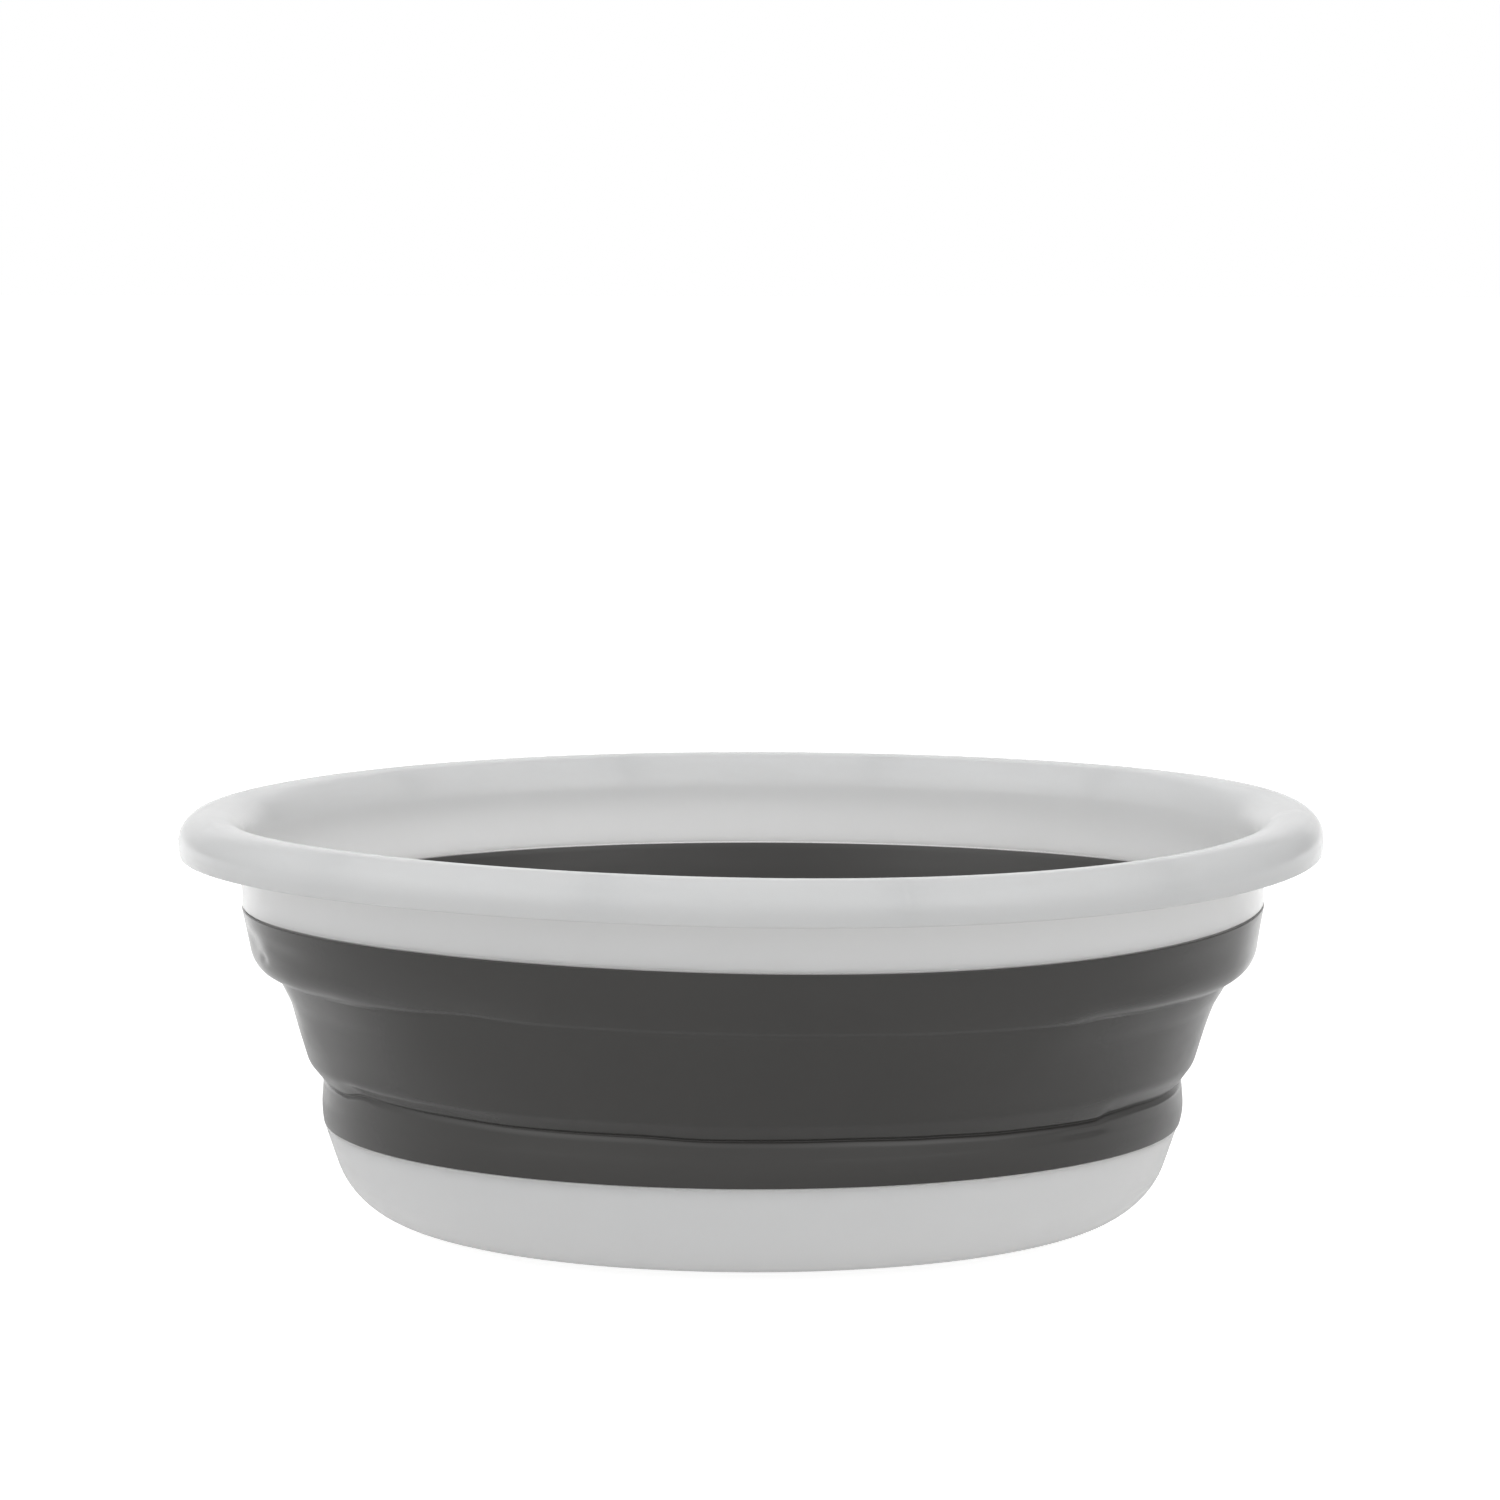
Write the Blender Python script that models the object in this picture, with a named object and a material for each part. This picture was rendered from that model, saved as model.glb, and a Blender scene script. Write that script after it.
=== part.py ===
"""Collapsible round wash basin: a stiff rim and a stiff pan joined by a folding soft wall.

The soft wall has two creases. Pressing the rim down turns the tier between them inside out, so
the rim travels twice that tier's height and comes to rest round the pan. Metres, +Z up, with the
origin on the table under the basin's centre. Every section is drawn as (radius, height) points.
"""
import math

import bmesh
import bpy
from mathutils import Vector

# Whole basin
RIM_DIAMETER = 0.370
FIT_GAP = 0.0003            # between pieces that touch on the real basin
RUN_CLEARANCE = 0.0006      # beside a piece that slides past another while folding
FACETS = 60                 # flats round every turned piece
CHORD_HEIGHT = 0.00026      # most that a flat stands inside the curve of a rounded corner

# Heights, stacked from the table up
PAN_HEIGHT = 0.0335
LOWER_BAND_HEIGHT = 0.0145
TIER_HEIGHT = 0.0341        # crease to crease
UPPER_BAND_HEIGHT = 0.0225
COLLAR_HEIGHT = 0.0304      # soft wall's top edge to the top of the rim

# Rim
RIM_OVERHANG = 0.020        # collar's outside to the rim's widest point
RIM_WALL = 0.0025
RIM_ROLL_RADIUS = 0.0092
CREST_ROLL_RADIUS = 0.0040
SKIRT_DEPTH = 0.0140        # top of the rim to the skirt's edge
SKIRT_DRAFT = math.radians(8.0)
RIM_TOP_FALL = math.radians(8.5)    # the rim's top falls inwards, so drips run back
COLLAR_DRAFT = math.radians(1.2)

# Gussets in the channel under the rim
GUSSETS = 12
GUSSET_WALL = 0.0016
GUSSET_SETBACK = 0.0035     # gusset's foot above the skirt's edge

# Soft wall
SOFT_WALL = 0.0020
FOLD_WALL = 0.0012          # thinned at the creases, which are living hinges
BAND_WALL = 0.0034          # thick enough to hold a tongue
BAND_PROUD = 0.0003         # soft bands stand this far outside the stiff pieces
UPPER_BAND_DRAFT = math.radians(10.2)
SHOULDER_RUN = 0.0079
SHOULDER_RISE = 0.0056
SHOULDER_FILLET = 0.0090
FLARE_RUN = 0.0042
FLARE_RISE = 0.0077
FLARE_FILLET = 0.0200
TIER_DRAFT = math.radians(16.2)
TIER_FOOT_RUN = 0.0052
TIER_FOOT_RISE = 0.0064
TIER_FOOT_FILLET = 0.0080
UPPER_CREASE_FILLET = 0.0050
LOWER_CREASE_FILLET = 0.0015
CREASE_INSET = 0.0005       # lower crease inside the lower band's bottom edge
LOWER_BAND_BULGE = 0.0009
UPPER_FOLD_DROP = 0.0016    # upper hinge starts this far under its crease
LOWER_FOLD_DROP = 0.0012    # lower hinge starts this far under its crease

# Tongues of the stiff pieces, gripped by the soft bands through windows
TONGUE_HEIGHT = 0.0080
TONGUE_WALL = 0.0012
WINDOW_WIDTH = 0.0080
WINDOW_HEIGHT = 0.0040
WINDOWS = 30                # round each tongue, a whole number of flats apart
CUT_OVERRUN = 0.0010

# Pan
PAN_WALL = 0.0025
PAN_DRAFT = math.radians(18.9)
PAN_CORNER_RADIUS = 0.0270
UNDERSIDE_RISE = math.radians(10.7)     # slope from the foot ring out to the corner
FOOT_INSET = 0.0424         # pan's top edge to the foot ring's outer edge, measured inwards
FOOT_WIDTH = 0.0075
FOOT_DEPTH = 0.0015         # raised centre above the table
FOOT_STEP = 0.0025          # width of the slope up to the raised centre
GATE_RADIUS = 0.0070
GATE_DEPTH = 0.0008         # shallow dimple that hides the moulding gate

# Finish
SHARP_ANGLE = math.radians(35.0)
SHORTEST_RUN = 0.0002       # section points closer than this to a cut are dropped
MERGE_DISTANCE = 0.00001
STIFF_WHITE = {"color": (0.80, 0.80, 0.79, 1.0), "roughness": 0.42}
SOFT_GREY = {"color": (0.070, 0.068, 0.063, 1.0), "roughness": 0.58}

# Worked out from the sizes above
PAN_TOP = PAN_HEIGHT
LOWER_CREASE_Z = PAN_TOP + LOWER_BAND_HEIGHT
UPPER_CREASE_Z = LOWER_CREASE_Z + TIER_HEIGHT
COLLAR_Z = UPPER_CREASE_Z + UPPER_BAND_HEIGHT
RIM_TOP = COLLAR_Z + COLLAR_HEIGHT
SKIRT_EDGE_Z = RIM_TOP - SKIRT_DEPTH
RIM_TRAVEL = 2 * TIER_HEIGHT
RIM_RADIUS = RIM_DIAMETER / 2
COLLAR_RADIUS = RIM_RADIUS - RIM_OVERHANG
FACET_ANGLE = math.tau / FACETS


def leaning(point, draft, rise):
    """The point reached by going up (or down) along a face that leans outwards by draft."""
    return Vector((point.x + rise * math.tan(draft), point.y + rise))


# Corners of the soft wall's outside, from the rim inwards and down
BAND_TOP = Vector((COLLAR_RADIUS + BAND_PROUD, COLLAR_Z - FIT_GAP))
SHOULDER = leaning(BAND_TOP, UPPER_BAND_DRAFT, UPPER_CREASE_Z + SHOULDER_RISE - BAND_TOP.y)
UPPER_CREASE = SHOULDER - Vector((SHOULDER_RUN, SHOULDER_RISE))
FLARE = UPPER_CREASE - Vector((FLARE_RUN, FLARE_RISE))
TIER_FOOT = leaning(FLARE, TIER_DRAFT, LOWER_CREASE_Z + TIER_FOOT_RISE - FLARE.y)
LOWER_CREASE = TIER_FOOT - Vector((TIER_FOOT_RUN, TIER_FOOT_RISE))
BAND_FOOT = Vector((LOWER_CREASE.x + CREASE_INSET, PAN_TOP + FIT_GAP))
PAN_RADIUS = BAND_FOOT.x - BAND_PROUD

# Centre lines of the tongues, from root to tip, in the middle of the soft bands
UPPER_ROOT = Vector((BAND_TOP.x - BAND_WALL / 2, COLLAR_Z))
UPPER_TONGUE = [UPPER_ROOT, leaning(UPPER_ROOT, UPPER_BAND_DRAFT, -TONGUE_HEIGHT)]
LOWER_ROOT = Vector((BAND_FOOT.x - BAND_WALL / 2, PAN_TOP))
LOWER_TONGUE = [LOWER_ROOT, leaning(LOWER_ROOT, 0, TONGUE_HEIGHT)]


def level_with(path_point, next_point, height):
    """The point at a height on the straight line through two points."""
    share = (height - path_point.y) / (next_point.y - path_point.y)
    return path_point.lerp(next_point, share)


def meeting_point(point, run, other_point, other_run):
    """Where two straight lines cross, each given by a point and a direction."""
    share = (other_point - point).cross(other_run) / run.cross(other_run)
    return point + run * share


def arc(centre, radius, start, end):
    """Evenly spaced points along a circle from one angle to another, both included."""
    widest_flat = 2 * math.acos(1 - CHORD_HEIGHT / radius)
    flats = math.ceil(abs(end - start) / widest_flat)
    angles = [start + (end - start) * step / flats for step in range(flats + 1)]
    return [centre + radius * Vector((math.cos(angle), math.sin(angle))) for angle in angles]


def bulged(start, end, bulge):
    """Points along a shallow arc that swells by bulge to the right of the line start to end."""
    half = (end - start) / 2
    radius = (half.length_squared + bulge * bulge) / (2 * bulge)
    outwards = Vector((half.y, -half.x)).normalized()
    centre = (start + end) / 2 - outwards * (radius - bulge)
    first = start - centre
    last = end - centre
    return arc(centre, radius, math.atan2(first.y, first.x), math.atan2(last.y, last.x))


def fillet(before, corner, after, radius):
    """The arc that rounds one corner of a path."""
    arriving = (corner - before).normalized()
    leaving = (after - corner).normalized()
    turn = math.atan2(arriving.cross(leaving), arriving.dot(leaving))
    start = corner - arriving * radius * math.tan(abs(turn) / 2)
    inwards = Vector((-arriving.y, arriving.x)) * math.copysign(radius, turn)
    centre = start + inwards
    first = math.atan2(-inwards.y, -inwards.x)
    return arc(centre, radius, first, first + turn)


def rounded(corners):
    """A path through (point, fillet radius) corners; radius 0 keeps a sharp one."""
    path = []
    for index, (corner, radius) in enumerate(corners):
        if radius == 0:
            path.append(corner.copy())
        else:
            before = corners[index - 1][0]
            after = corners[index + 1][0]
            path += fillet(before, corner, after, radius)
    return path


def moved_left(path, distance):
    """A path parallel to the first, to the left as it runs, with its corners mitred."""
    runs = [(after - before).normalized() for before, after in zip(path, path[1:])]
    lefts = [Vector((-run.y, run.x)) for run in runs]
    moved = []
    for index, point in enumerate(path):
        before = lefts[max(index - 1, 0)]
        after = lefts[min(index, len(lefts) - 1)]
        moved.append(point + (before + after) * distance / (1 + before.dot(after)))
    return moved


def at_height(path, height):
    """The point where a rising path reaches a height; its end runs are carried on straight."""
    for before, after in zip(path, path[1:]):
        if height <= after.y:
            break
    return level_with(before, after, height)


def height_at_radius(path, radius):
    """How high a path that widens upwards reaches a radius, searched from its top."""
    for after, before in zip(path[::-1], path[-2::-1]):
        if before.x <= radius:
            break
    share = (radius - before.x) / (after.x - before.x)
    return before.lerp(after, share).y


def between(path, low, high):
    """The stretch of a rising path between two heights."""
    inside = [point for point in path if low + SHORTEST_RUN < point.y < high - SHORTEST_RUN]
    return [at_height(path, low)] + inside + [at_height(path, high)]


def soft_wall_path():
    """The outside of the whole soft wall, from the pan's edge up to the rim's collar."""
    barrel = bulged(BAND_FOOT, LOWER_CREASE, LOWER_BAND_BULGE)
    corners = [(point, 0) for point in barrel[:-1]]
    corners += [
        (LOWER_CREASE, LOWER_CREASE_FILLET),
        (TIER_FOOT, TIER_FOOT_FILLET),
        (FLARE, FLARE_FILLET),
        (UPPER_CREASE, UPPER_CREASE_FILLET),
        (SHOULDER, SHOULDER_FILLET),
        (BAND_TOP, 0),
    ]
    return rounded(corners)


def wall_slice(outer, wall, low, high):
    """Closed section of one ring of the soft wall, cut level at both ends."""
    inner = moved_left(outer, wall)
    return between(outer, low, high) + between(inner, low, high)[::-1]


def thickened(line, wall):
    """A straight line made into a strip, measured level across."""
    half = Vector((wall / 2, 0))
    return [line[0] + half, line[1] + half, line[1] - half, line[0] - half]


def middle_stretch(line, height):
    """The middle of a straight line, as a line of the given height."""
    middle = (line[0] + line[1]) / 2
    half_run = (line[1] - line[0]) * (height / TONGUE_HEIGHT) / 2
    return [middle - half_run, middle + half_run]


def groove_section(tongue):
    """The room a tongue needs in a soft band, with the fit gap at its sides and its tip."""
    step = (tongue[1] - tongue[0]) * (FIT_GAP / TONGUE_HEIGHT)
    return thickened([tongue[0] + step, tongue[1] + step], TONGUE_WALL + 2 * FIT_GAP)


def rim_paths():
    """The rim's show side, and the side in its channel, both from the skirt round to the collar."""
    centre = Vector((RIM_RADIUS - RIM_ROLL_RADIUS, RIM_TOP - RIM_ROLL_RADIUS))
    roll_end = math.pi / 2 + RIM_TOP_FALL
    roll = arc(centre, RIM_ROLL_RADIUS, -SKIRT_DRAFT, roll_end)
    skirt_edge = leaning(roll[0], SKIRT_DRAFT, SKIRT_EDGE_Z - roll[0].y)
    collar_foot = Vector((COLLAR_RADIUS - RIM_WALL, COLLAR_Z))
    top_run = Vector((-math.cos(RIM_TOP_FALL), -math.sin(RIM_TOP_FALL)))
    wall_run = Vector((math.sin(COLLAR_DRAFT), math.cos(COLLAR_DRAFT)))
    crest = meeting_point(roll[-1], top_run, collar_foot, wall_run)
    crest_roll = fillet(roll[-1], crest, collar_foot, CREST_ROLL_RADIUS)
    show_side = [skirt_edge] + roll + crest_roll + [collar_foot]
    channel_side = moved_left(show_side, RIM_WALL)
    channel_side[0] = level_with(channel_side[0], channel_side[1], SKIRT_EDGE_Z)
    channel_side[-1] = level_with(channel_side[-2], channel_side[-1], COLLAR_Z)
    return show_side, channel_side


def gusset_section(show_side):
    """A web that fills the channel down to its foot, its edges buried in the rim's wall."""
    middle = moved_left(show_side, RIM_WALL / 2)
    foot = SKIRT_EDGE_Z + GUSSET_SETBACK
    section = [point for point in middle if point.y > foot]
    first = middle.index(section[0])
    last = middle.index(section[-1])
    start = level_with(middle[first - 1], middle[first], foot)
    end = level_with(middle[last], middle[last + 1], foot)
    return [start] + section + [end]


def pan_paths():
    """The pan's outside and inside, both from the centre out and up to its top edge."""
    foot_radius = PAN_RADIUS - FOOT_INSET
    top_edge = Vector((PAN_RADIUS, PAN_TOP))
    foot_edge = Vector((foot_radius, 0))
    wall_run = Vector((math.sin(PAN_DRAFT), math.cos(PAN_DRAFT)))
    underside_run = Vector((math.cos(UNDERSIDE_RISE), math.sin(UNDERSIDE_RISE)))
    corner = meeting_point(foot_edge, underside_run, top_edge, wall_run)
    sheet = rounded([
        (Vector((0, FOOT_DEPTH)), 0),
        (Vector((foot_radius - FOOT_WIDTH - FOOT_STEP, FOOT_DEPTH)), 0),
        (Vector((foot_radius - FOOT_WIDTH, 0)), 0),
        (foot_edge, 0),
        (corner, PAN_CORNER_RADIUS),
        (top_edge, 0),
    ])
    inside = moved_left(sheet, PAN_WALL)
    inside[-1] = level_with(inside[-2], inside[-1], PAN_TOP)
    gate_top = FOOT_DEPTH + GATE_DEPTH
    gate = [
        Vector((0, gate_top)),
        Vector((GATE_RADIUS - GATE_DEPTH, gate_top)),
        Vector((GATE_RADIUS, FOOT_DEPTH)),
    ]
    return gate + sheet[1:], inside


def make_material(name, finish):
    material = bpy.data.materials.new(name)
    material.use_nodes = True
    shader = material.node_tree.nodes["Principled BSDF"]
    shader.inputs["Base Color"].default_value = finish["color"]
    shader.inputs["Roughness"].default_value = finish["roughness"]
    shader.inputs["Metallic"].default_value = 0
    return material


def add_object(name, shape, finish=None):
    """An object from a finished bmesh, smooth with sharp corners kept, in its own material."""
    bmesh.ops.recalc_face_normals(shape, faces=shape.faces)
    mesh = bpy.data.meshes.new(name)
    shape.to_mesh(mesh)
    shape.free()
    mesh.shade_smooth()
    mesh.set_sharp_from_angle(angle=SHARP_ANGLE)
    if finish:
        mesh.materials.append(make_material(name, finish))
    thing = bpy.data.objects.new(name, mesh)
    bpy.context.scene.collection.objects.link(thing)
    return thing


def turned(name, section, finish):
    """One solid turned about the Z axis; a section that starts on the axis has no bore."""
    shape = bmesh.new()
    points = [shape.verts.new((point.x, 0, point.y)) for point in section]
    pairs = list(zip(points, points[1:]))
    if section[0].x > 0:
        pairs.append((points[-1], points[0]))
    edges = [shape.edges.new(pair) for pair in pairs]
    bmesh.ops.spin(
        shape, geom=points + edges, cent=(0, 0, 0), axis=(0, 0, 1),
        angle=math.tau, steps=FACETS, use_merge=True,
    )
    bmesh.ops.remove_doubles(shape, verts=shape.verts, dist=MERGE_DISTANCE)
    return add_object(name, shape, finish)


def block_ring(name, section, width, first_angle, count):
    """Straight blocks of one section, standing across the radius and spaced round the axis."""
    shape = bmesh.new()
    points = [shape.verts.new((point.x, -width / 2, point.y)) for point in section]
    end_face = shape.faces.new(points)
    grown = bmesh.ops.extrude_face_region(shape, geom=[end_face])["geom"]
    far_points = [item for item in grown if isinstance(item, bmesh.types.BMVert)]
    bmesh.ops.translate(shape, verts=far_points, vec=(0, width, 0))
    block = shape.verts[:] + shape.edges[:] + shape.faces[:]
    pitch = math.tau / count
    bmesh.ops.spin(
        shape, geom=block, cent=(0, 0, 0), axis=(0, 0, 1),
        angle=math.tau - pitch, steps=count - 1, use_duplicate=True,
    )
    tool = add_object(name, shape)
    tool.rotation_euler.z = first_angle
    tool.hide_render = True
    tool.display_type = "WIRE"
    return tool


def combine(piece, tool, operation):
    """Cut a tool from a piece, or weld it on."""
    boolean = piece.modifiers.new(tool.name, "BOOLEAN")
    boolean.operation = operation
    boolean.solver = "EXACT"
    boolean.object = tool


def carried_by(guide, pieces):
    """Parent pieces to a guide on the fold's axis without moving them."""
    for piece in pieces:
        piece.parent = guide
        piece.location = -guide.location


def slide_guide(name, height, travel):
    """An empty on the basin's axis that may drop by travel and no further."""
    guide = bpy.data.objects.new(name, None)
    guide.location = (0, 0, height)
    limit = guide.constraints.new("LIMIT_LOCATION")
    limit.use_min_z = True
    limit.min_z = height - travel
    limit.use_max_z = True
    limit.max_z = height
    bpy.context.scene.collection.objects.link(guide)
    return guide


def soft_wall():
    """The soft wall's two sides, and the heights where its rings are cut at the folds.

    The rings are cut where they can slide past each other: the tier outside the lower band's
    barrel, and the upper band outside the tier.
    """
    outside = soft_wall_path()
    inside = moved_left(outside, SOFT_WALL)
    tier_top = UPPER_CREASE.y - UPPER_FOLD_DROP
    tier_radius = at_height(outside, tier_top).x
    barrel_radius = max(point.x for point in outside if point.y < LOWER_CREASE.y)
    return {
        "outside": outside,
        "inside": inside,
        "lower_band_top": LOWER_CREASE.y - LOWER_FOLD_DROP,
        "tier_foot": height_at_radius(inside, barrel_radius + RUN_CLEARANCE),
        "tier_top": tier_top,
        "upper_band_foot": height_at_radius(inside, tier_radius + RUN_CLEARANCE),
    }


def make_rim_ring():
    show_side, channel_side = rim_paths()
    tongue = thickened(UPPER_TONGUE, TONGUE_WALL)
    rim_ring = turned("rim_ring", show_side + tongue[::-1] + channel_side[::-1], STIFF_WHITE)
    first_angle = math.pi / GUSSETS
    section = gusset_section(show_side)
    gussets = block_ring("rim_gussets", section, GUSSET_WALL, first_angle, GUSSETS)
    combine(rim_ring, gussets, "UNION")
    return rim_ring


def make_upper_band(wall):
    foot = wall["upper_band_foot"]
    inner_foot = at_height(wall["inside"], foot)
    inner_lip = BAND_TOP - Vector((BAND_WALL, 0))
    shoulder_run = Vector((SHOULDER_RUN, SHOULDER_RISE))
    lip_run = Vector((math.sin(UPPER_BAND_DRAFT), math.cos(UPPER_BAND_DRAFT)))
    inner_shoulder = meeting_point(inner_foot, shoulder_run, inner_lip, lip_run)
    section = between(wall["outside"], foot, BAND_TOP.y)
    section += groove_section(UPPER_TONGUE)
    section += [inner_lip, inner_shoulder, inner_foot]
    return turned("upper_band", section, SOFT_GREY)


def make_fold(name, wall, low, high):
    section = wall_slice(wall["outside"], FOLD_WALL, wall[low] + FIT_GAP, wall[high] - FIT_GAP)
    return turned(name, section, SOFT_GREY)


def make_middle_tier(wall):
    section = wall_slice(wall["outside"], SOFT_WALL, wall["tier_foot"], wall["tier_top"])
    return turned("middle_tier", section, SOFT_GREY)


def make_lower_band(wall):
    top = wall["lower_band_top"]
    inner_top = at_height(wall["inside"], top)
    inner_radius = BAND_FOOT.x - BAND_WALL
    lead_z = top - (inner_top.x - inner_radius)      # the thick part starts with a 45 degree lead
    section = between(wall["outside"], BAND_FOOT.y, top)
    section += [inner_top, Vector((inner_radius, lead_z)), Vector((inner_radius, BAND_FOOT.y))]
    section += groove_section(LOWER_TONGUE)[::-1]
    return turned("lower_band", section, SOFT_GREY)


def make_base_pan():
    outside, inside = pan_paths()
    tongue = thickened(LOWER_TONGUE, TONGUE_WALL)
    return turned("base_pan", outside + tongue + inside[::-1], STIFF_WHITE)


def lock_tongue(stiff, soft, tongue, level):
    """Windows through a stiff tongue, and soft plugs that pass through them into both lips."""
    first_angle = FACET_ANGLE / 2
    opening = thickened(middle_stretch(tongue, WINDOW_HEIGHT), TONGUE_WALL + 2 * CUT_OVERRUN)
    windows = block_ring(level + "_windows", opening, WINDOW_WIDTH, first_angle, WINDOWS)
    combine(stiff, windows, "DIFFERENCE")
    lip = (BAND_WALL - TONGUE_WALL) / 2 - FIT_GAP
    filling = thickened(middle_stretch(tongue, WINDOW_HEIGHT - 2 * FIT_GAP), BAND_WALL - lip)
    plugs = block_ring(level + "_plugs", filling, WINDOW_WIDTH - 2 * FIT_GAP, first_angle, WINDOWS)
    combine(soft, plugs, "UNION")


def build():
    for old in list(bpy.data.objects):
        bpy.data.objects.remove(old, do_unlink=True)

    wall = soft_wall()
    rim_ring = make_rim_ring()
    upper_band = make_upper_band(wall)
    upper_fold = make_fold("upper_fold", wall, "tier_top", "upper_band_foot")
    middle_tier = make_middle_tier(wall)
    make_fold("lower_fold", wall, "lower_band_top", "tier_foot")
    lower_band = make_lower_band(wall)
    base_pan = make_base_pan()
    lock_tongue(rim_ring, upper_band, UPPER_TONGUE, "upper")
    lock_tongue(base_pan, lower_band, LOWER_TONGUE, "lower")

    # The rim carries its half of the soft wall down twice as far as the tier drops
    rim_guide = slide_guide("rim_guide", UPPER_CREASE.y, RIM_TRAVEL)
    tier_guide = slide_guide("tier_guide", LOWER_CREASE.y, RIM_TRAVEL / 2)
    carried_by(rim_guide, [rim_ring, upper_band, upper_fold])
    carried_by(tier_guide, [middle_tier])


build()
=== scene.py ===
import math

import bmesh
import bpy
from mathutils import Matrix, Vector


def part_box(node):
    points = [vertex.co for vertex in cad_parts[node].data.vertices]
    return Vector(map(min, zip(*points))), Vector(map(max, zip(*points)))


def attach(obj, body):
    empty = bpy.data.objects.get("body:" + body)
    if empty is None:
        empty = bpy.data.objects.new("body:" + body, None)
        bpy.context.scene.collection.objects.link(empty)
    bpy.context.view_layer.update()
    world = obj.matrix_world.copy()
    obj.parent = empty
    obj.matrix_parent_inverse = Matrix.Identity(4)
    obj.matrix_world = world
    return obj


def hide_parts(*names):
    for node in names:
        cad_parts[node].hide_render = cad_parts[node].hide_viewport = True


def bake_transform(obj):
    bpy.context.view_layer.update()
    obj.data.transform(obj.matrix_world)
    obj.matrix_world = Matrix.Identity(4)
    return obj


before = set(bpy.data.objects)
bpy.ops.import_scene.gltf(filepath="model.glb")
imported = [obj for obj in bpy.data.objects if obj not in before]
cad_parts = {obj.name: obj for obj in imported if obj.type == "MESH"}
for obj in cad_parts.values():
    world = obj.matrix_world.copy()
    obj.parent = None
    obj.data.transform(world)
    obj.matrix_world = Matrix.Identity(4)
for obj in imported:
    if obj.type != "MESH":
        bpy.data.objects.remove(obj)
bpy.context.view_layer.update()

# Collapsible wash basin. The stiff rim and pan and the one-piece soft wall are turned finely here,
# over the solids of the frame. Metres, +Z up, and the photograph looks along +Y.

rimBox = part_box("rim_ring")
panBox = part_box("base_pan")
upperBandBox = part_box("upper_band")
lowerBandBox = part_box("lower_band")
fitGap = 0.0003                     # between pieces that touch on the real basin

# Heights of the joints between the pieces, read from the frame
rimTop = rimBox[1].z
collarFoot = upperBandBox[1].z + fitGap
panTop = lowerBandBox[0].z - fitGap
tableTop = panBox[0].z


def leaning(point, draft, rise):
    # the point reached by going up or down a face that leans outwards by draft
    return Vector((point.x + rise * math.tan(draft), point.y + rise))


def meetingPoint(point, run, otherPoint, otherRun):
    # where two straight lines cross
    share = (otherPoint - point).cross(otherRun) / run.cross(otherRun)
    return point + run * share


def arc(centre, radius, start, end, step):
    # the points of an arc, at most step degrees apart
    flats = max(2, math.ceil(abs(end - start) / math.radians(step)))
    angles = [start + (end - start) * n / flats for n in range(flats + 1)]
    return [centre + radius * Vector((math.cos(a), math.sin(a))) for a in angles]


def fillet(before, corner, after, radius, step):
    # the arc that rounds a corner between two straight runs
    arriving = (corner - before).normalized()
    leaving = (after - corner).normalized()
    turn = math.atan2(arriving.cross(leaving), arriving.dot(leaving))
    start = corner - arriving * radius * math.tan(abs(turn) / 2)
    inwards = Vector((-arriving.y, arriving.x)) * math.copysign(radius, turn)
    first = math.atan2(-inwards.y, -inwards.x)
    return arc(start + inwards, radius, first, first + turn, step)


def rounded(corners, step, closed=False):
    # corners are (point, radius); radius 0 leaves a point as it is
    path = []
    for n, (corner, radius) in enumerate(corners):
        if radius == 0 or (not closed and n in (0, len(corners) - 1)):
            path.append(corner.copy())
        else:
            after = corners[(n + 1) % len(corners)][0]
            path += fillet(corners[n - 1][0], corner, after, radius, step)
    return path


def movedLeft(path, distances):
    # a path beside the first, to the left as it runs; one distance for each point
    runs = [(b - a).normalized() for a, b in zip(path, path[1:])]
    lefts = [Vector((-run.y, run.x)) for run in runs]
    moved = []
    for n, point in enumerate(path):
        before = lefts[max(n - 1, 0)]
        after = lefts[min(n, len(lefts) - 1)]
        moved.append(point + (before + after) * distances[n] / (1 + before.dot(after)))
    return moved


def spaced(path, longest):
    # the same path with its long runs cut into even steps
    dense = [path[0]]
    for a, b in zip(path, path[1:]):
        pieces = max(1, math.ceil((b - a).length / longest))
        dense += [a.lerp(b, n / pieces) for n in range(1, pieces + 1)]
    return dense


def eased(low, high, value):
    # 0 up to low and 1 from high, with a soft start and end between them
    share = min(1, max(0, (value - low) / (high - low)))
    return share * share * (3 - 2 * share)


def waved(table, value):
    # a smooth curve through a table of (place, amount), level beyond its ends
    if value <= table[0][0]:
        return table[0][1]
    for (low, first), (high, second) in zip(table, table[1:]):
        if value <= high:
            return first + (second - first) * eased(low, high, value)
    return table[-1][1]


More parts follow.
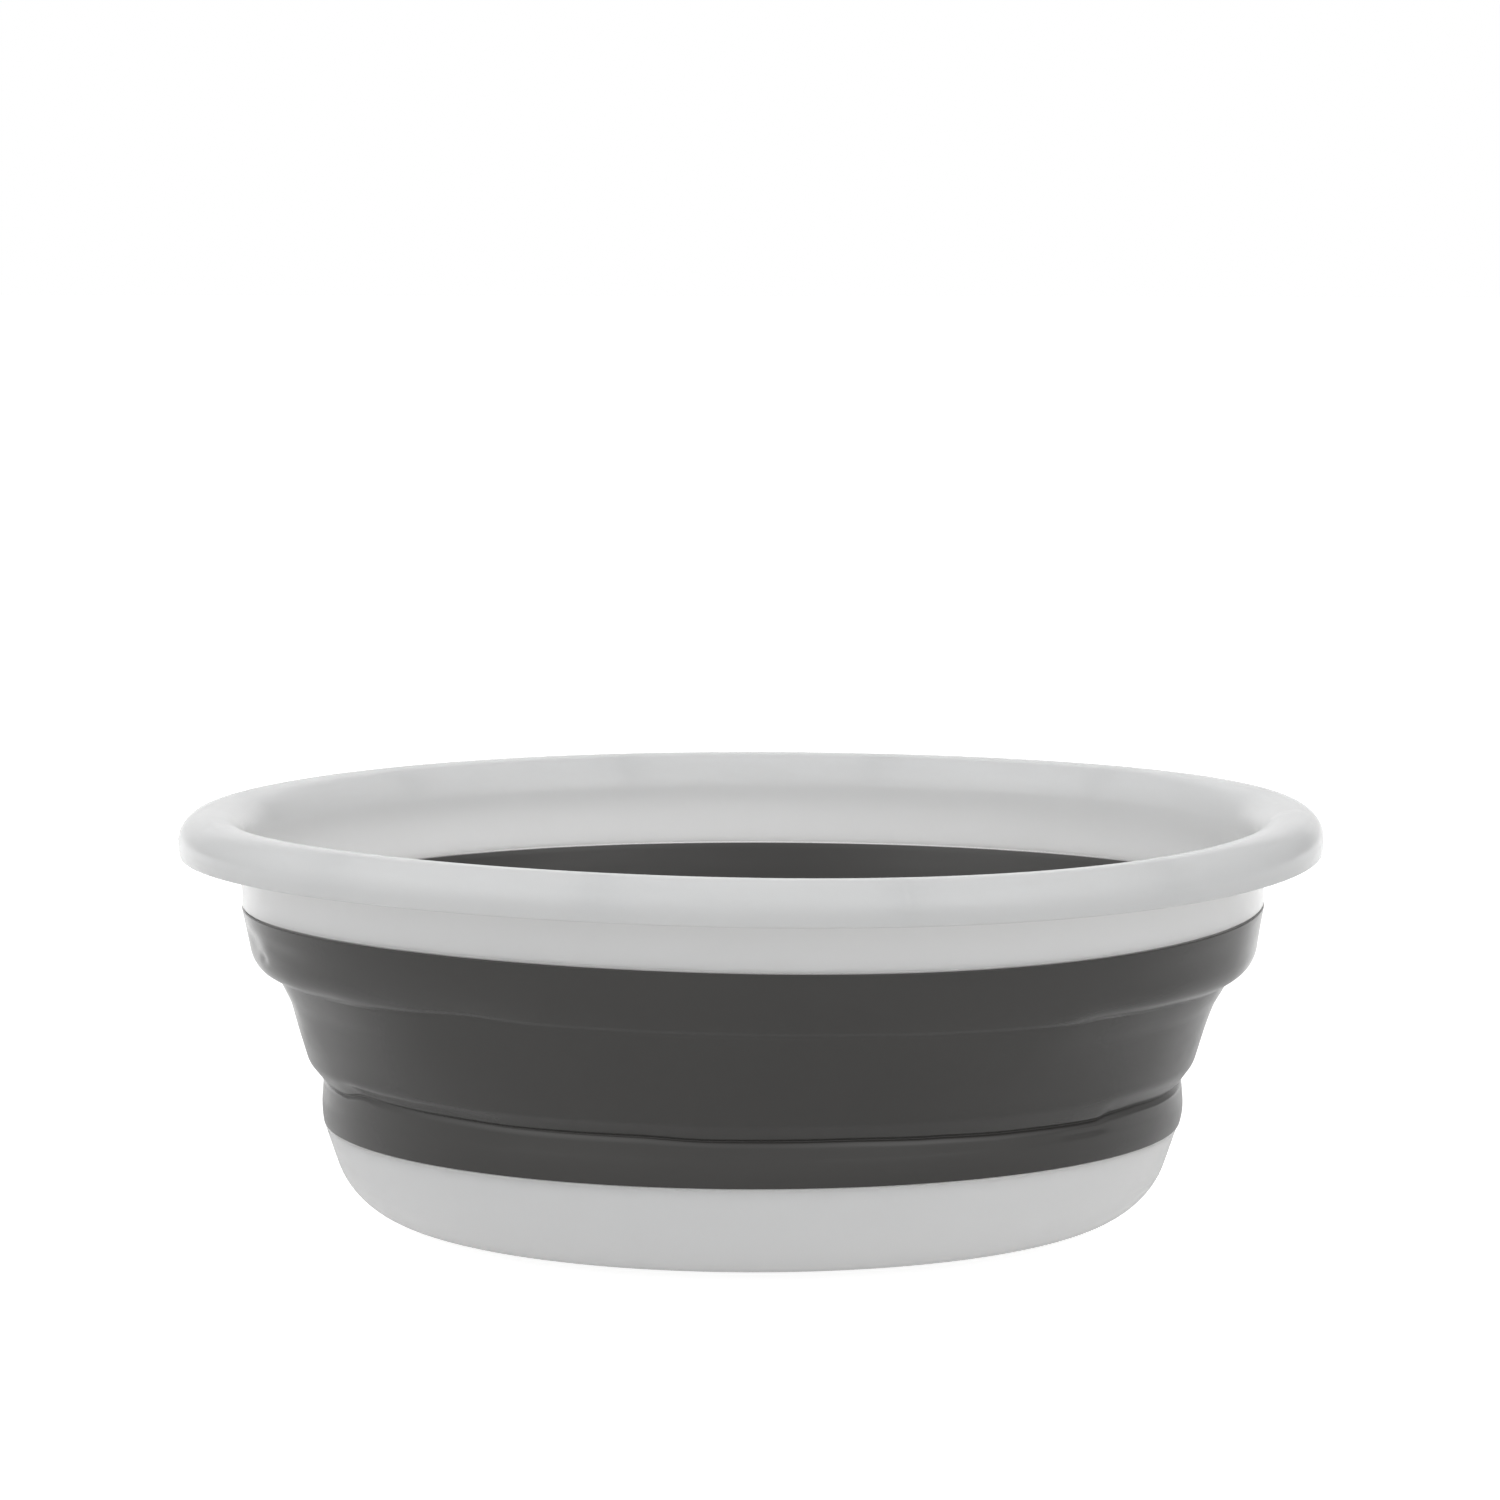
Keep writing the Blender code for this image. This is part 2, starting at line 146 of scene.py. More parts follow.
def turned(name, section, turns, shift=None, second=None, share=None):
    # a section turned about Z, anticlockwise as drawn; one whose ends are on the axis has no bore;
    # share(angle) says how far it has changed into the second section, which has as many points
    hasBore = section[0].x > 0
    loop = section if hasBore else section[1:-1]
    places, faces = [], []
    for turn in range(turns):
        angle = math.tau * turn / turns
        points = [p.lerp(q, share(angle)) for p, q in zip(loop, second)] if second else loop
        for p in points:
            p = p + shift(angle, p) if shift else p
            places.append((p.x * math.cos(angle), p.x * math.sin(angle), p.y))
    count = len(loop)
    steps = [(n, (n + 1) % count) for n in range(count if hasBore else count - 1)]
    for turn in range(turns):
        here, there = turn * count, (turn + 1) % turns * count
        faces += [(here + a, there + a, there + b, here + b) for a, b in steps]
    if not hasBore:
        places += [(0, 0, section[0].y), (0, 0, section[-1].y)]
        start, end = len(places) - 2, len(places) - 1
        for turn in range(turns):
            here, there = turn * count, (turn + 1) % turns * count
            faces += [(start, there, here), (here + count - 1, there + count - 1, end)]
    mesh = bpy.data.meshes.new(name)
    mesh.from_pydata(places, [], faces)
    mesh.validate()
    return mesh


def finished(name, mesh, material, sharpAngle=50):
    # an object from a mesh or a bmesh, smooth with its sharp corners kept
    if isinstance(mesh, bmesh.types.BMesh):
        solid, mesh = mesh, bpy.data.meshes.new(name)
        bmesh.ops.recalc_face_normals(solid, faces=solid.faces)
        solid.to_mesh(mesh)
        solid.free()
    mesh.shade_smooth()
    mesh.set_sharp_from_angle(angle=math.radians(sharpAngle))
    mesh.materials.append(material)
    piece = bpy.data.objects.new(name, mesh)
    bpy.context.scene.collection.objects.link(piece)
    return piece


# How the rim sits on the soft wall: a little oval and not quite flat, as the photograph shows
rimSeat = {
    # waves round the rim, height, degrees from +X to the first high place
    "heights": [(2, 0.00088, 28), (3, 0.00053, -2)],
    "oval": 0.0017,                 # added to the radius where that is longest
    "ovalAt": 27,                   # degrees from +X to that place
    "from": 0.0480,                 # the wall takes it up from here to the collar
    # height and shift along +X
    "sway": [(0.0290, 0), (0.0390, 0.0004), (0.0460, 0.0004), (0.0490, 0), (0.0620, 0.0001),
             (0.0840, 0.0010), (0.1050, 0.0007), (0.1220, 0)],
}


def seatShift(angle, point):
    # outward and upward shift of a point on the rim or the soft wall
    share = min(1, max(0, (point.y - rimSeat["from"]) / (collarFoot - rimSeat["from"])))
    rise = sum(height * math.cos(waves * (angle - math.radians(at)))
               for waves, height, at in rimSeat["heights"])
    spread = rimSeat["oval"] * math.cos(2 * (angle - math.radians(rimSeat["ovalAt"])))
    aside = waved(rimSeat["sway"], point.y) * math.cos(angle)
    return Vector((spread, rise)) * share + Vector((aside, 0))


# Materials. Scales are per metre, and a pair named From is the span of noise over which a change runs
plasticLook = {
    "colour": (0.800, 0.802, 0.794),
    "mottle": (0.784, 0.784, 0.774),
    "mottleScale": 9.0,             # cloudy variation
    "mottleDetail": 3,
    "mottleFrom": (0.35, 0.65),
    "roughness": (0.18, 0.26),
    "patchScale": 27.0,             # broad patches that handling has polished
    "scuffScale": 420.0,            # fine scuffs, stretched round the basin
    "scuffStretch": (0.12, 0.12, 1),
    "scuffFrom": (0.58, 0.72),
    "scuffWear": 0.35,
    "wearFrom": (0.3, 0.8),
    "grainScale": 2600.0,           # spark-eroded mould grain
    "grainDepth": 0.000012,
    "refraction": 1.49,
    "subsurface": 1.0,              # thin walls let light through
    "subsurfaceTint": (1.0, 0.96, 0.92),
    "subsurfaceDepth": 0.0400,
}

rubberLook = {
    "colour": (0.039, 0.0374, 0.0353),
    "mottle": (0.036, 0.0346, 0.0327),
    "mottleScale": 16.0,
    "mottleDetail": 4,
    "mottleFrom": (0.35, 0.65),
    "roughness": (0.18, 0.26),
    "patchScale": 40.0,
    "patchStretch": (1, 1, 2.5),
    "wearFrom": (0.3, 0.7),
    "grainScale": 3400.0,
    "grainDepth": 0.000010,
    "flowScale": 30.0,              # streaks left where the soft plastic flowed round the mould
    "flowStretch": (1, 1, 6),
    "flowDepth": 0.00006,
    "refraction": 1.5,
}


def node(tree, kind, inputs=None, **settings):
    # a new node; an input is another node's socket or a plain value
    made = tree.nodes.new(kind)
    for key, value in settings.items():
        setattr(made, key, value)
    for key, value in (inputs or {}).items():
        if isinstance(value, bpy.types.NodeSocket):
            tree.links.new(value, made.inputs[key])
        else:
            made.inputs[key].default_value = value
    return made


def sums(tree, operation, *values, label=""):
    # the result of a sum on two or three numbers or sockets
    made = node(tree, "ShaderNodeMath", dict(enumerate(values)), operation=operation, label=label)
    return made.outputs[0]


def noise(tree, place, scale, detail, stretch=(1, 1, 1)):
    spread = node(tree, "ShaderNodeMapping", {"Vector": place, "Scale": stretch})
    texture = node(tree, "ShaderNodeTexNoise", {
        "Vector": spread.outputs["Vector"], "Scale": scale, "Detail": detail,
    })
    return texture.outputs["Fac"]


def ranged(tree, value, low, high, toLow=0, toHigh=1):
    spread = node(tree, "ShaderNodeMapRange", {
        "Value": value, "From Min": low, "From Max": high, "To Min": toLow, "To Max": toHigh,
    })
    return spread.outputs["Result"]


def blendedColour(tree, factor, first, second):
    mixed = node(tree, "ShaderNodeMix", data_type="RGBA")
    tree.links.new(factor, mixed.inputs[0])
    mixed.inputs[6].default_value = (*first, 1)
    mixed.inputs[7].default_value = (*second, 1)
    return mixed.outputs[2]


def bumped(tree, height, depth, normal=None):
    inputs = {"Height": height, "Distance": depth, "Strength": 1.0}
    if normal is not None:
        inputs["Normal"] = normal
    return node(tree, "ShaderNodeBump", inputs).outputs["Normal"]


def mottled(name, look):
    # a new material with its cloudy colour, and what the rest of it is built on
    material = bpy.data.materials.new(name)
    material.use_nodes = True
    tree = material.node_tree
    shader = tree.nodes["Principled BSDF"]
    shader.inputs["IOR"].default_value = look["refraction"]
    place = node(tree, "ShaderNodeTexCoord").outputs["Object"]
    clouds = noise(tree, place, look["mottleScale"], look["mottleDetail"])
    change = ranged(tree, clouds, *look["mottleFrom"])
    colour = blendedColour(tree, change, look["colour"], look["mottle"])
    tree.links.new(colour, shader.inputs["Base Color"])
    return material, tree, shader, place


def satinPlastic(look):
    material, tree, shader, place = mottled("satinPlastic", look)
    patches = noise(tree, place, look["patchScale"], detail=4)
    scuffs = noise(tree, place, look["scuffScale"], detail=3, stretch=look["scuffStretch"])
    wear = sums(tree, "ADD", patches, ranged(tree, scuffs, *look["scuffFrom"], 0, look["scuffWear"]))
    rough = ranged(tree, wear, *look["wearFrom"], *look["roughness"])
    tree.links.new(rough, shader.inputs["Roughness"])
    grain = bumped(tree, noise(tree, place, look["grainScale"], detail=1), look["grainDepth"])
    tree.links.new(grain, shader.inputs["Normal"])
    shader.inputs["Subsurface Weight"].default_value = look["subsurface"]
    shader.inputs["Subsurface Radius"].default_value = look["subsurfaceTint"]
    shader.inputs["Subsurface Scale"].default_value = look["subsurfaceDepth"]
    return material


def softRubber(look):
    material, tree, shader, place = mottled("softRubber", look)
    patches = noise(tree, place, look["patchScale"], detail=5, stretch=look["patchStretch"])
    rough = ranged(tree, patches, *look["wearFrom"], *look["roughness"])
    tree.links.new(rough, shader.inputs["Roughness"])
    streaks = noise(tree, place, look["flowScale"], detail=3, stretch=look["flowStretch"])
    flow = bumped(tree, streaks, look["flowDepth"])
    grain = bumped(tree, noise(tree, place, look["grainScale"], detail=1), look["grainDepth"], flow)
    tree.links.new(grain, shader.inputs["Normal"])
    return material


plastic = satinPlastic(plasticLook)
rubber = softRubber(rubberLook)
print("materials made")

# Stiff rim: collar, roll turned over outwards, and a short skirt. Drafts and falls are in degrees
rimShape = {
    "radius": 0.185,
    "overhang": 0.020,              # from the collar's outside to the rim's
    "wall": 0.0025,
    "rollRadius": 0.0092,
    "crestRadius": 0.0112,          # where the top turns down into the bore
    "skirtDepth": 0.0140,           # from the rim's top to the skirt's edge
    "skirtDraft": 8.0,
    "topFall": 8.5,                 # towards the bore
    "collarDraft": 1.2,
    "edgeRound": 0.0009,            # free edge of the skirt
    "seamRound": 0.0005,            # collar's foot, where the soft wall starts
    "curveStep": 4,                 # degrees between the points of a curve
    "edgeStep": 15,                 # the same for an edge's round
    "step": 0.0015,                 # longest face along the section
    "turns": 288,
}


def rimSides(shape):
    # show side and channel side, both from the skirt round to the collar
    centre = Vector((shape["radius"] - shape["rollRadius"], rimTop - shape["rollRadius"]))
    fall = math.radians(shape["topFall"])
    draft = math.radians(shape["skirtDraft"])
    roll = arc(centre, shape["rollRadius"], -draft, math.pi / 2 + fall, shape["curveStep"])
    edge = leaning(roll[0], draft, rimTop - shape["skirtDepth"] - roll[0].y)
    foot = Vector((shape["radius"] - shape["overhang"] - shape["wall"], collarFoot))
    topRun = Vector((-math.cos(fall), -math.sin(fall)))
    wallDraft = math.radians(shape["collarDraft"])
    crest = meetingPoint(roll[-1], topRun, foot, Vector((math.sin(wallDraft), math.cos(wallDraft))))
    crestRoll = fillet(roll[-1], crest, foot, shape["crestRadius"], shape["curveStep"])
    show = [edge] + roll + crestRoll + [foot]
    channel = movedLeft(show, [shape["wall"]] * len(show))
    channel[0] = Vector((channel[0].x, edge.y))
    channel[-1] = Vector((channel[-1].x, foot.y))
    return show, channel


gussetShape = {
    "count": 12,
    "wall": 0.0016,
    "setback": 0.0035,              # foot above the skirt's edge
    "buried": 0.0009,               # edges let into the rim's wall
    "edgeRound": 0.0004,
    "edgeSegments": 3,
    "sharpAngle": 30,
}


def makeGussets(shape, rim):
    # thin webs across the channel, between the collar and the skirt
    show = rimSides(rim)[0]
    middle = movedLeft(show, [rim["wall"] - shape["buried"]] * len(show))
    foot = rimTop - rim["skirtDepth"] + shape["setback"]
    outline = [p for p in middle if p.y > foot]
    outline = [Vector((outline[0].x, foot))] + outline + [Vector((outline[-1].x, foot))]
    solid = bmesh.new()
    points = [solid.verts.new((p.x, -shape["wall"] / 2, p.y)) for p in outline]
    grown = bmesh.ops.extrude_face_region(solid, geom=[solid.faces.new(points)])["geom"]
    farSide = [item for item in grown if isinstance(item, bmesh.types.BMVert)]
    bmesh.ops.translate(solid, verts=farSide, vec=(0, shape["wall"], 0))

    # the foot's two long edges are rounded, and the short ones across the web stay
    atFoot = [e for e in solid.edges if all(abs(v.co.z - foot) < fitGap for v in e.verts)]
    footEdges = [e for e in atFoot if e.calc_length() > shape["wall"] * 2]
    bmesh.ops.bevel(solid, geom=footEdges, offset=shape["edgeRound"],
                    segments=shape["edgeSegments"], affect="EDGES")

    # half a pitch round, copied the rest of the way, and seated with the rim
    pitch = math.tau / shape["count"]
    bmesh.ops.rotate(solid, verts=solid.verts, cent=(0, 0, 0), matrix=Matrix.Rotation(pitch / 2, 3, "Z"))
    block = solid.verts[:] + solid.edges[:] + solid.faces[:]
    bmesh.ops.spin(solid, geom=block, cent=(0, 0, 0), axis=(0, 0, 1), angle=math.tau - pitch,
                   steps=shape["count"] - 1, use_duplicate=True)
    for vert in solid.verts:
        x, y, z = vert.co
        radius, angle = math.hypot(x, y), math.atan2(y, x)
        shift = seatShift(angle, Vector((radius, z)))
        vert.co = (x * (1 + shift.x / radius), y * (1 + shift.x / radius), z + shift.y)
    return finished("rimGussets", solid, plastic, shape["sharpAngle"])


def joined(piece, added):
    # one moulding from two meshes that run into each other
    union = piece.modifiers.new("joined", "BOOLEAN")
    union.operation = "UNION"
    union.object = added
    bpy.context.view_layer.update()
    solid = bpy.data.meshes.new_from_object(piece.evaluated_get(bpy.context.evaluated_depsgraph_get()))
    piece.modifiers.clear()
    piece.data = solid
    bpy.data.objects.remove(added)


def makeRim(shape):
    show, channel = rimSides(shape)
    corners = [(show[0], shape["edgeRound"])]
    corners += [(p, 0) for p in show[1:-1]]
    corners += [(show[-1], shape["seamRound"]), (channel[-1], shape["seamRound"])]
    corners += [(p, 0) for p in channel[-2:0:-1]]
    corners += [(channel[0], shape["edgeRound"])]
    section = rounded(corners, shape["edgeStep"], closed=True)
    section = spaced(section + section[:1], shape["step"])[:-1]
    rim = finished("rimRing", turned("rimRing", section, shape["turns"], seatShift), plastic)
    joined(rim, makeGussets(gussetShape, shape))
    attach(rim, "rim")
    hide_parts("rim_ring")


makeRim(rimShape)
print("rim turned")

# Soft wall: one moulding from the collar down to the pan, thinned at its two folds
wallShape = {
    "proud": 0.0003,                # stands out from the stiff pieces at its ends
    "upperDraft": 10.2,             # drafts and leans are in degrees
    "shoulder": (0.0079, 0.0056),   # run and rise up from the upper crease
    "shoulderFillet": 0.0090,
    "upperCreaseZ": 0.0821,
    "upperCreaseFillet": 0.0070,
    "flare": (0.0042, 0.0077),      # run and rise up to the upper crease
    "flareFillet": 0.0200,
    "tierDraft": 16.2,
    "tierFoot": (0.0052, 0.0064),   # run and rise up from the lower crease
    "tierFootFillet": 0.0080,
    "lowerCreaseZ": 0.0480,
    "lowerCreaseFillet": 0.0011,
    "creaseInset": 0.0005,          # lower crease, in from the wall's foot
    "barrel": 0.0010,               # bulge of the lower band
    # the show side of the folds: tucked in under a rolled edge
    "upperTuck": {"rise": 0.0012, "edge": (0.0026, 0.0025), "edgeRound": 0.0020, "cornerRound": 0.0004},
    "lowerTuck": {"rise": 0.0006, "inset": 0.0001, "edge": (0.0012, 0.0005), "edgeRound": 0.0024,
                  "cornerRound": 0.0002, "ledge": (0.0009, 0.0013), "ledgeRound": 0.0036},
    # the upper fold where it has opened nearly flat
    "openFrom": (0.0550, 0.1030),   # heights between which the wall is then drawn anew
    "openCrease": (0.0022, 0.0019), # how far its crease has moved, out and up
    "openLeans": (21.0, 37.0),      # of the wall just below and just above that
    "openGroove": (0.0002, 0.0013), # depth and reach of the faint line left there
    "bandWall": 0.0034,
    "tierWall": 0.0020,
    "foldWall": 0.0012,
    "tuckWall": 0.0023,             # behind the upper fold's tuck, which is cut into it
    # distances from a crease: below it, where the wall starts to thin and where it is thin, and above
    # it, where it starts to thicken and where it is thick
    "lowerThin": (0.0045, 0.0005, 0.0010, 0.0060),
    "upperThin": (0.0060, 0.0010, 0.0010, 0.0080),
    "edgeRound": 0.0004,
    "barrelStep": 2,                # degrees between the points of a curve
    "curveStep": 6,
    "edgeStep": 20,
    "step": 0.0006,                 # longest face along the outside and the inside
    "insideStep": 0.0012,
    "turns": 330,
}


def wallOutside(shape, tucked=False):
    # from the pan's edge up to the collar
    collarRadius = rimShape["radius"] - rimShape["overhang"]
    top = Vector((collarRadius + shape["proud"], collarFoot - fitGap))
    shoulderZ = shape["upperCreaseZ"] + shape["shoulder"][1]
    shoulder = leaning(top, math.radians(shape["upperDraft"]), shoulderZ - top.y)
    upperCrease = shoulder - Vector(shape["shoulder"])
    flare = upperCrease - Vector(shape["flare"])
    footZ = shape["lowerCreaseZ"] + shape["tierFoot"][1]
    foot = leaning(flare, math.radians(shape["tierDraft"]), footZ - flare.y)
    lowerCrease = foot - Vector(shape["tierFoot"])
    bottom = Vector((lowerCrease.x + shape["creaseInset"], panTop + fitGap))

    half = (lowerCrease - bottom) / 2
    radius = (half.length_squared + shape["barrel"] ** 2) / (2 * shape["barrel"])
    outwards = Vector((half.y, -half.x)).normalized()
    centre = (lowerCrease + bottom) / 2 - outwards * (radius - shape["barrel"])
    start, end = [math.atan2(p.y - centre.y, p.x - centre.x) for p in (bottom, lowerCrease)]
    barrel = arc(centre, radius, start, end, shape["barrelStep"])

    lowerFold = [(lowerCrease, shape["lowerCreaseFillet"])]
    upperFold = [(upperCrease, shape["upperCreaseFillet"])]
    if tucked:
        upper, lower = shape["upperTuck"], shape["lowerTuck"]
        corner = lowerCrease + Vector((-lower["inset"], lower["rise"]))
        ledge = corner + Vector((lower["ledge"][0], -lower["ledge"][1]))
        rolledEdge = corner + Vector(lower["edge"])
        barrel = [p for p in barrel if p.y < ledge.y - lower["ledgeRound"]] + [ledge]
        lowerFold = [(ledge, lower["ledgeRound"]), (corner, lower["cornerRound"]),
                     (rolledEdge, lower["edgeRound"])]
        corner = upperCrease + Vector((0, upper["rise"]))
        rolledEdge = upperCrease + Vector(upper["edge"])
        upperFold = [(corner, upper["cornerRound"]), (rolledEdge, upper["edgeRound"])]
    tier = [(foot, shape["tierFootFillet"]), (flare, shape["flareFillet"])]
    band = [(shoulder, shape["shoulderFillet"]), (top, 0)]
    corners = [(p, 0) for p in barrel[:-1]] + lowerFold + tier + upperFold + band
    return rounded(corners, shape["curveStep"])


def wallThickness(shape, z, upperFold):
    # thick bands that grip the stiff pieces, a thinner tier, and thin folds
    if z < (shape["lowerCreaseZ"] + shape["upperCreaseZ"]) / 2:
        crease, thins = shape["lowerCreaseZ"], shape["lowerThin"]
        below, fold, above = shape["bandWall"], shape["foldWall"], shape["tierWall"]
    else:
        crease, thins = shape["upperCreaseZ"], shape["upperThin"]
        below, fold, above = shape["tierWall"], shape[upperFold], shape["bandWall"]
    thinned = below + (fold - below) * eased(crease - thins[0], crease - thins[1], z)
    return thinned + (above - fold) * eased(crease + thins[2], crease + thins[3], z)


# How the folds lie: they wander up and down round the basin, and the lower one has a kink at the right.
# The tables start at the left of the back, in degrees from +X, and run over the front to the right of
# the back. Across the back they are level
tablesFrom = 150
foldLines = {
    "upper": {
        "height": 0.0840,
        "reach": (0.0170, 0.0150),  # below and above the fold, where the rise has faded out
        "rise": [
            (150, -0.0012), (192, -0.0014), (204, -0.0010), (216, -0.0005), (226, 0), (236, 0.0010),
            (246, 0), (281, -0.0003), (291, -0.0008), (308, -0.0013), (314, -0.0004), (326, -0.0010),
            (338, -0.0016), (390, -0.0012),
        ],
        # how far the fold has opened flat
        "open": [(150, 0), (204, 0), (229, 1), (302, 1), (328, 0), (390, 0)],
    },
    "lower": {
        "height": 0.0488,
        "reach": (0.0070, 0.0080),
        "rise": [
            (150, 0.0004), (202, 0.0002), (209, 0.0020), (216, 0.0016), (224, 0.0013), (240, 0.0007),
            (255, 0.0008), (265, 0), (282, 0), (293, -0.0005), (305, -0.0011), (320.5, -0.0015),
            (323.5, -0.0004), (330, 0), (340, -0.0004), (390, 0.0004),
        ],
    },
}

# Shallow dents in the soft wall: degrees from +X, height, half widths in degrees and height, depth
wallDents = [
    (194, 0.0955, 7, 0.0060, 0.0008),
    (198, 0.0925, 2.2, 0.0022, 0.0005),
    (205, 0.0965, 9, 0.0035, 0.0004),
    (318, 0.0445, 6, 0.0022, 0.0004),
    (328, 0.0960, 14, 0.0060, 0.0003),
    (252, 0.0660, 22, 0.0090, 0.0003),
    (296, 0.0640, 16, 0.0080, -0.0003),
]


def roundWall(angle):
    # degrees on the scale of the tables
    return tablesFrom + (math.degrees(angle) - tablesFrom) % 360


def wallShift(angle, point):
    # the seat's shift, the folds' rise, which fades out below and above them, and the dents
    shift = seatShift(angle, point)
    degrees = roundWall(angle)
    for line in foldLines.values():
        off = point.y - line["height"]
        reach = line["reach"][0] if off < 0 else line["reach"][1]
        if abs(off) < reach:
            shift.y += waved(line["rise"], degrees) * (1 - eased(0, reach, abs(off)))
    for at, height, halfTurn, halfHeight, depth in wallDents:
        across = abs((degrees - at + 180) % 360 - 180) / halfTurn
        up = abs(point.y - height) / halfHeight
        if across < 1 and up < 1:
            shift.x -= depth * (1 - eased(0, 1, across)) * (1 - eased(0, 1, up))
    return shift


def openShare(angle):
    # how far the upper fold has opened at that place round the wall
    return waved(foldLines["upper"]["open"], roundWall(angle))


def opened(shape, path, plain):
    # the path with its upper fold drawn out to two easy curves that meet in a faint crease
    ends = []
    for z in shape["openFrom"]:
        n = next(n for n, p in enumerate(plain) if p.y >= z)
        ends.append((plain[n], (plain[n].x - plain[n - 1].x) / (plain[n].y - plain[n - 1].y)))
    crease = min(plain, key=lambda p: abs(p.y - shape["upperCreaseZ"])) + Vector(shape["openCrease"])
    leans = [math.tan(math.radians(lean)) for lean in shape["openLeans"]]
    curves = [(*ends[0], crease, leans[0]), (crease, leans[1], *ends[1])]
    depth, reach = shape["openGroove"]
    moved = []
    for p in path:
        for low, lowLean, high, highLean in curves:
            if low.y <= p.y < high.y:
                tall = high.y - low.y
                share = (p.y - low.y) / tall
                lean = (lowLean * (1 - share) - highLean * share) * share * (1 - share)
                groove = depth * (1 - eased(0, reach, abs(p.y - crease.y)))
                p = Vector((low.x + (high.x - low.x) * eased(0, 1, share) + tall * lean - groove, p.y))
                break
        moved.append(p)
    return moved


def makeWall(shape):
    # one section with the folds tucked in and one with the upper fold opened, blended round the turn
    outside = spaced(wallOutside(shape, tucked=True), shape["step"])
    plain = spaced(wallOutside(shape), shape["step"])
    behind = spaced(wallOutside(shape), shape["insideStep"])
    ends = (0, len(outside) - 1, len(outside), len(outside) + len(behind) - 1)
    sections = []
    for face, back, upperFold in [
        (outside, behind, "tuckWall"),
        (opened(shape, outside, plain), opened(shape, behind, plain), "foldWall"),
    ]:
        inside = movedLeft(back, [wallThickness(shape, p.y, upperFold) for p in back])
        inside[0] = Vector((inside[0].x, face[0].y))
        inside[-1] = Vector((inside[-1].x, face[-1].y))
        ring = face + inside[::-1]
        corners = [(p, shape["edgeRound"] if n in ends else 0) for n, p in enumerate(ring)]
        sections.append(rounded(corners, shape["edgeStep"], closed=True))
    solid = turned("softWall", sections[0], shape["turns"], wallShift, sections[1], openShare)
    wall = finished("softWall", solid, rubber)
    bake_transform(wall)
    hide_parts("upper_band", "upper_fold", "middle_tier", "lower_fold", "lower_band")


makeWall(wallShape)
print("soft wall turned")

# Stiff pan: flat floor on a foot ring, large rounded corner, tapered side
panShape = {
    "wall": 0.0025,
    "draft": 18.9,                  # degrees, as the rise of the underside is
    "cornerRadius": 0.0270,
    "undersideRise": 10.7,
    "footInset": 0.0424,            # foot ring's outer edge, in from the pan's top edge
    "footWidth": 0.0075,
    "footDepth": 0.0015,
    "footStep": 0.0025,             # run of the slope inside the foot ring
    "footRounds": (0.0015, 0.0012, 0.0035),     # that slope's top and foot, and the outer edge
    "gateRadius": 0.0070,           # dimple in the middle of the underside
    "gateDepth": 0.0008,
    "gateRun": 0.0016,
    "gateRounds": (0.0012, 0.0008),
    "seamRound": 0.0005,
    "curveStep": 4,                 # degrees between the points of a curve
    "gateStep": 12,
    "edgeStep": 20,
    "turns": 288,
}


def makePan(shape):
    bottomRadius = wallOutside(wallShape)[0].x
    topEdge = Vector((bottomRadius - wallShape["proud"], panTop))
    footRadius = topEdge.x - shape["footInset"]
    footInner = footRadius - shape["footWidth"]
    footEdge = Vector((footRadius, tableTop))
    raised = tableTop + shape["footDepth"]
    slopeTop = Vector((footInner - shape["footStep"], raised))
    draft = math.radians(shape["draft"])
    rise = math.radians(shape["undersideRise"])
    corner = meetingPoint(footEdge, Vector((math.cos(rise), math.sin(rise))),
                          topEdge, Vector((math.sin(draft), math.cos(draft))))
    topRound, innerRound, outerRound = shape["footRounds"]
    sheet = rounded([
        (Vector((0, raised)), 0),
        (slopeTop, topRound),
        (Vector((footInner, tableTop)), innerRound),
        (footEdge, outerRound),
        (corner, shape["cornerRadius"]),
        (topEdge, 0),
    ], shape["curveStep"])
    inside = movedLeft(sheet, [shape["wall"]] * len(sheet))
    inside[-1] = Vector((inside[-1].x, panTop))

    # the gate's dimple is in the underside alone
    gateTop = raised + shape["gateDepth"]
    ceilingRound, lipRound = shape["gateRounds"]
    gate = rounded([
        (Vector((0, gateTop)), 0),
        (Vector((shape["gateRadius"] - shape["gateRun"], gateTop)), ceilingRound),
        (Vector((shape["gateRadius"], raised)), lipRound),
        (slopeTop, 0),
    ], shape["gateStep"])[:-1]
    ring = gate + sheet[1:] + inside[::-1]
    topEdges = (len(gate) + len(sheet) - 2, len(gate) + len(sheet) - 1)
    corners = [(p, shape["seamRound"] if n in topEdges else 0) for n, p in enumerate(ring)]
    section = rounded(corners, shape["edgeStep"])
    pan = finished("basePan", turned("basePan", section, shape["turns"]), plastic)
    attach(pan, "base")
    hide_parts("base_pan")


makePan(panShape)
print("pan turned")

# Camera, fitted to the rim's and the borders' ellipses
cameraSet = {
    "distance": 2.0958,             # level, from the basin's axis
    "height": 0.3799,               # over the table
    "aside": -0.0006,
    "pitch": 6.152,                 # degrees down
    "roll": 0.096,                  # degrees
    "focalPixels": 6478.5,
    "imagePixels": 1500.0,
    "sensor": 36.0,                 # millimetres
}


